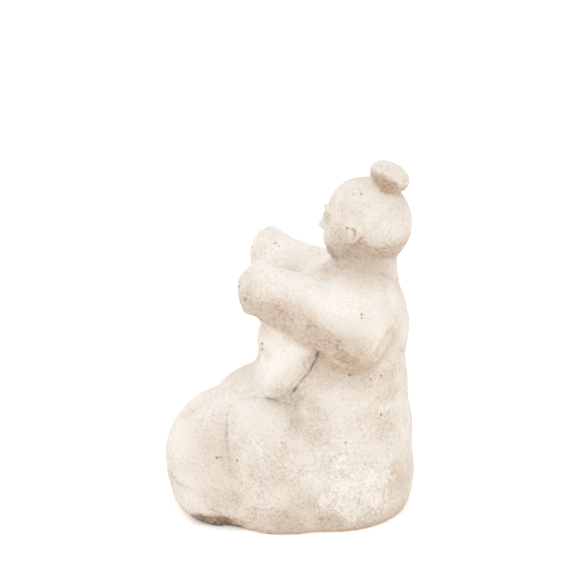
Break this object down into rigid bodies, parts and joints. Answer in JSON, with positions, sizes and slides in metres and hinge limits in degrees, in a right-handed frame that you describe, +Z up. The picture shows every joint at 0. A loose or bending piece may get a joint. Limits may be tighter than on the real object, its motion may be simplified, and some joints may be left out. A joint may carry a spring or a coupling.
{
  "type": "concrete garden statue of a seated lady",
  "caption": "Plump lady seated cross-legged, hair in a top bun, head turned, forearms held out with closed hands; one solid casting on a flat underside.",
  "frame": {"origin": "on the ground, under the middle of the figure's overall length and width", "axes": "+Z up; the body faces -Y, her left side is +X"},
  "size_m": [0.2697, 0.3565, 0.5015],
  "materials": {
    "concrete": "matte"
  },
  "bodies": {
    "root": {"seated_lady": "concrete"}
  },
  "joints": []
}
